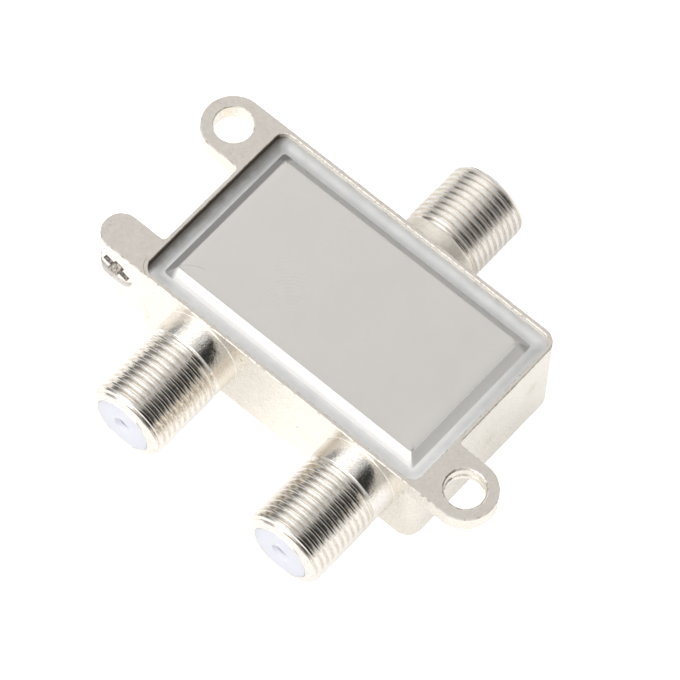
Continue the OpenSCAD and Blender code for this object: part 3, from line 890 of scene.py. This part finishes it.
def solder():
    """Solder: smooth grey, made brighter towards the outputs as painted light, and dark along the rim on
    the side of the lug as painted shade.
    """
    made, tree, shader, place = material("solder", 1.0, 0.56)
    cloud = noise_node(tree, place, 0.8, 4.0, 0.5)
    shade = ramp(tree, cloud, (0.65, 0.65, 0.642), (0.70, 0.70, 0.692))
    split = tree.nodes.new("ShaderNodeSeparateXYZ")
    tree.links.new(place, split.inputs[0])
    wander = math_node(tree, "ADD", split.outputs["X"], math_node(tree, "MULTIPLY", cloud, 0.5))
    # Painted shade: dark along the rim on the side of the lug, fading inwards
    flux = mapped(tree, wander, -BODY.x + 1.05, -BODY.x + 1.6, 0.93, 0)
    # Painted light: the solder's colour brighter towards the outputs and darker towards the input
    shade = scaled(tree, shade, mapped(tree, split.outputs["Y"], -BODY.y + 2, BODY.y - 2, 1.22, 0.9))
    tree.links.new(over(tree, flux, shade, (0.24, 0.22, 0.20)), shader.inputs["Base Color"])
    bump(tree, shader, cloud, 0.02)
    return made


def plastic():
    """White insulator plastic."""
    made, tree, shader, place = material("plastic", 0.0)
    shader.inputs["Subsurface Weight"].default_value = 0.6
    shader.inputs["Subsurface Radius"].default_value = (1, 1, 1)
    shader.inputs["Subsurface Scale"].default_value = 1.2 * MM
    cloud = noise_node(tree, place, 1.5, 3.0, 0.5)
    shade = ramp(tree, cloud, (0.70, 0.705, 0.765), (0.72, 0.725, 0.785))
    tree.links.new(shade, shader.inputs["Base Color"])
    bump(tree, shader, cloud, 0.01)
    return made


def plain(name, dark, light, metallic, roughness, scale=3.0, depth=0.01):
    """Small piece or zone: two shades in a fine pattern, with a light bump."""
    made, tree, shader, place = material(name, metallic, roughness)
    grain = noise_node(tree, place, scale, 4.0, 0.6)
    tree.links.new(ramp(tree, grain, dark, light), shader.inputs["Base Color"])
    bump(tree, shader, grain, depth)
    return made


CAST = cast_nickel()
# Tops of the rim, ears and lug, darker than the walls as painted shade
TOP = top_nickel()
TURNED = turned_nickel("turned_nickel", 0.06, 0.14)
DULL = turned_nickel("dull_thread", 0.27, 0.35, IN_X)
TIN = tin()
BEVEL_PAINTED_LIGHT = bent_tin()
NECK = neck_nickel()
EDGE = edge_nickel()
# Painted shade: near black inside the screw's cross recess
PAINTED_RECESS_SHADE = plain("recess", (0.02, 0.016, 0.012), (0.62, 0.57, 0.52), 1.0, 0.42, 4.0, 0.06)
ROUGH = plain("rough_neck", (0.86, 0.81, 0.73), (0.97, 0.92, 0.84), 1.0, 0.62, 3.0, 0.04)
SEAT = plain("seat", (0.90, 0.88, 0.86), (0.95, 0.93, 0.91), 1.0, 0.75)
# Painted shade: dark brown on the inner wall of the rim on the side of the lug
RIM_WALL_PAINTED_SHADE = plain("flux", (0.20, 0.15, 0.11), (0.34, 0.28, 0.22), 1.0, 0.5)
SOLDER = solder()
PLASTIC = plastic()
STEEL = plain("steel", (0.80, 0.77, 0.73), (0.88, 0.85, 0.81), 1.0, 0.18)
CASTING_LOOKS = [CAST, TURNED, TOP, NECK, SEAT, RIM_WALL_PAINTED_SHADE, DULL, EDGE, ROUGH]
COVER_LOOKS = [TIN, BEVEL_PAINTED_LIGHT]
SCREW_LOOKS = [STEEL, PAINTED_RECESS_SHADE]
CAD_LOOKS = {
    "insulator": PLASTIC,
    "contact": plain("contact", (0.78, 0.77, 0.78), (0.86, 0.85, 0.86), 1.0, 0.3),
    "circuit_board": plain("board", (0.30, 0.26, 0.12), (0.36, 0.31, 0.15), 0.0, 0.5),
    "board_tracks": plain("track", (0.74, 0.70, 0.64), (0.84, 0.80, 0.74), 1.0, 0.3),
    "core": plain("ferrite", (0.05, 0.05, 0.055), (0.09, 0.09, 0.095), 0.0, 0.55),
    "winding": plain("wire", (0.50, 0.13, 0.05), (0.62, 0.20, 0.08), 0.6, 0.3),
    "coil": plain("coil", (0.50, 0.13, 0.05), (0.62, 0.20, 0.08), 0.6, 0.3),
    "resistor": plain("resistor", (0.03, 0.03, 0.035), (0.06, 0.06, 0.065), 0.0, 0.4),
    "capacitor": plain("capacitor", (0.48, 0.36, 0.22), (0.56, 0.43, 0.28), 0.0, 0.4),
    "contact_solder": SOLDER,
    "ground_solder": SOLDER,
}


def dress(piece, materials):
    """Gives a piece its materials."""
    piece.data.materials.clear()
    for look in materials:
        piece.data.materials.append(look)


def dress_cad_nodes():
    """Gives every carried-over node its material, by the longest part of its name that is listed."""
    for name, node in frame["nodes"].items():
        keys = [key for key in CAD_LOOKS if key in name]
        if not keys:
            continue
        look = CAD_LOOKS[max(keys, key=len)]
        if not node.material_slots:
            node.data.materials.append(look)
        for slot in node.material_slots:
            slot.material = look


def mark_casting(piece):
    """Sets the casting's materials zone by zone; the tops and the rim's inner wall on the lug's side get
    painted shade. The input port is duller than the outputs.
    """
    for face in piece.data.polygons:
        c = face.center
        look = CAST
        if c.z > TOP_Z - EDGE_R:
            look = TOP if c.z > TOP_Z - 0.004 else EDGE
        for x, side, length, neck in PORTS.values():
            out = side * c.y - BODY.y
            reach = math.hypot(c.x - x, c.z - PORT_Z)
            if neck < out < length + 0.5 and PORT_BORE_R + 0.01 < reach < THREAD_R + 0.1:
                look = DULL if side > 0 else TURNED
            if 0.02 < out < neck and NECK_R - 0.2 < reach < NECK_R + PORT_FILLET:
                look = ROUGH if side > 0 else NECK
        off_seat = abs(math.hypot(c.x - SCREW_X, c.z - SCREW_Z) - HEAD_R - SEAT_GAP)
        if off_seat < 0.04 and c.y < -BODY.y + SEAT_H:
            look = SEAT
        # Painted shade on the inner wall of the rim, on the side of the lug
        off_rim = abs(BODY.x + c.x - RIM_T)
        if off_rim < 0.12 and LEDGE_Z < c.z < TOP_Z - 0.04 and abs(c.y) < BODY.y - 0.4:
            look = RIM_WALL_PAINTED_SHADE
        face.material_index = CASTING_LOOKS.index(look)


def mark_cover(piece):
    """Second material, with painted light and painted shade in its colour, on the bevel of the cover."""
    for face in piece.data.polygons:
        if 0.2 < face.normal.z < 0.97:
            face.material_index = COVER_LOOKS.index(BEVEL_PAINTED_LIGHT)


def mark_screw(piece):
    """Second material, near black as painted shade, on the inside of the cross recess."""
    for face in piece.data.polygons:
        c = face.center
        deep = c.y - (HEAD_FACE_Y + 0.03)
        inside = 0 < deep < 0.8 and math.hypot(c.x - SCREW_X, c.z - SCREW_Z) < CROSS_L / 2 + 0.02
        wall = inside and abs(face.normal.y) < 0.999
        bottom = 0.3 < deep < 0.62 and face.normal.y < -0.9
        if wall or bottom:
            face.material_index = SCREW_LOOKS.index(PAINTED_RECESS_SHADE)


# Object

part = casting()
dress(part, CASTING_LOOKS)
mark_casting(part)
smooth(part)
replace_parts(finish_piece(part, "casing"), "housing")

lid = cover()
dress(lid, COVER_LOOKS)
mark_cover(lid)
smooth(lid, 40)
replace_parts(finish_piece(lid, "casing"), "cover_plate")

joint = seam()
dress(joint, [SOLDER])
smooth(joint, 60)
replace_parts(finish_piece(joint, "casing"), "cover_seam")

fastener = screw()
dress(fastener, SCREW_LOOKS)
mark_screw(fastener)
smooth(fastener)
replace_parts(finish_piece(fastener, "screw"), "ground_screw")

dress_cad_nodes()


# Stage, camera and light

def light_path(tree, name):
    node = tree.nodes.new("ShaderNodeLightPath")
    return node.outputs[name]


def floor():
    """Pale floor that reads as white away from the object and keeps its shadow."""
    half = 1.5
    corners = [(-half, -half, 0), (half, -half, 0), (half, half, 0), (-half, half, 0)]
    mesh = mesh_from("floor", corners, [(0, 1, 2, 3)])
    ground = new_object("floor", mesh)
    made, tree, shader, _ = material("floor", 0.0, 0.9)
    shader.inputs["Base Color"].default_value = (0.82, 0.82, 0.82, 1)
    shader.inputs["Emission Color"].default_value = (1, 1, 1, 1)
    seen = math_node(tree, "MULTIPLY", light_path(tree, "Is Camera Ray"), 0.8)
    glossy = math_node(tree, "MULTIPLY", light_path(tree, "Is Glossy Ray"), 0.42)
    tree.links.new(math_node(tree, "ADD", seen, glossy), shader.inputs["Emission Strength"])
    mesh.materials.append(made)


floor()


def direction(azimuth, elevation):
    a, e = math.radians(azimuth), math.radians(elevation)
    return Vector((math.cos(a) * math.cos(e), math.sin(a) * math.cos(e), math.sin(e)))


def cosine(degrees):
    return math.cos(math.radians(degrees))


def blended(tree, share, a, b):
    """Number that goes from a to b with a share."""
    node = tree.nodes.new("ShaderNodeMix")
    node.data_type = "FLOAT"
    tree.links.new(share, node.inputs["Factor"])
    set_or_link(tree, a, node.inputs["A"])
    set_or_link(tree, b, node.inputs["B"])
    return node.outputs["Result"]


# Radiance of the room that the plating mirrors, then its bright and dark sides: azimuth, elevation,
# radius of the full stretch and of its edge in degrees, radiance
ROOM = 0.64
SIDES = [(138, 56, 18, 30, 1.3), (-107, 28, 24, 42, 2.7), (28, 36, 27, 33, 0.03), (160, 8, 10, 24, 0.18)]


def studio():
    """Room as the plating mirrors it, white where the camera looks past the object."""
    world = bpy.data.worlds.new("studio")
    bpy.context.scene.world = world
    world.use_nodes = True
    tree = world.node_tree
    place = tree.nodes.new("ShaderNodeTexCoord").outputs["Generated"]
    radiance = ROOM
    for azimuth, elevation, full, none, side in SIDES:
        dot = tree.nodes.new("ShaderNodeVectorMath")
        dot.operation = "DOT_PRODUCT"
        dot.inputs[1].default_value = direction(azimuth, elevation)
        tree.links.new(place, dot.inputs[0])
        share = mapped(tree, dot.outputs["Value"], cosine(none), cosine(full), 0.0, 1.0)
        radiance = blended(tree, share, radiance, side)
    radiance = blended(tree, light_path(tree, "Is Camera Ray"), radiance, 1.0)
    sky = tree.nodes["Background"]
    tree.links.new(radiance, sky.inputs["Strength"])
    sky.inputs["Color"].default_value = (1, 1, 1, 1)


studio()


def lamp(name, azimuth, elevation, distance, size, power):
    """Soft area lamp that looks at the object."""
    data = bpy.data.lights.new(name, "AREA")
    data.shape = "RECTANGLE"
    data.size, data.size_y = size
    data.energy = power
    light = bpy.data.objects.new(name, data)
    light.location = direction(azimuth, elevation) * distance
    light.rotation_mode = "QUATERNION"
    light.rotation_quaternion = light.location.to_track_quat("Z", "Y")
    bpy.context.scene.collection.objects.link(light)


lamp("overhead", 137, 56, 1.0, (0.3, 0.2), 0.05)


# Camera, from the fit of the edges in the photograph
CAMERA_AIM = Vector((0.31, -1.265, 7.0)) * MM
CAMERA_DISTANCE = 573.15 * MM
CAMERA_AZIMUTH = 37.64
CAMERA_ELEVATION = 63.04
CAMERA_ROLL = 3.84
CAMERA_LENS = 291.8


def camera():
    a, e = math.radians(CAMERA_AZIMUTH), math.radians(CAMERA_ELEVATION)
    back = Vector((math.sin(a) * math.cos(e), -math.cos(a) * math.cos(e), math.sin(e)))
    data = bpy.data.cameras.new("camera")
    data.lens = CAMERA_LENS
    data.sensor_width = 36
    data.clip_start = 0.01
    data.clip_end = 10
    view = bpy.data.objects.new("camera", data)
    view.location = CAMERA_AIM + back * CAMERA_DISTANCE
    view.rotation_mode = "QUATERNION"
    roll = Quaternion((0, 0, 1), math.radians(CAMERA_ROLL))
    view.rotation_quaternion = (-back).to_track_quat("-Z", "Y") @ roll
    bpy.context.scene.collection.objects.link(view)
    bpy.context.scene.camera = view


camera()
bpy.context.scene.view_settings.view_transform = "Standard"
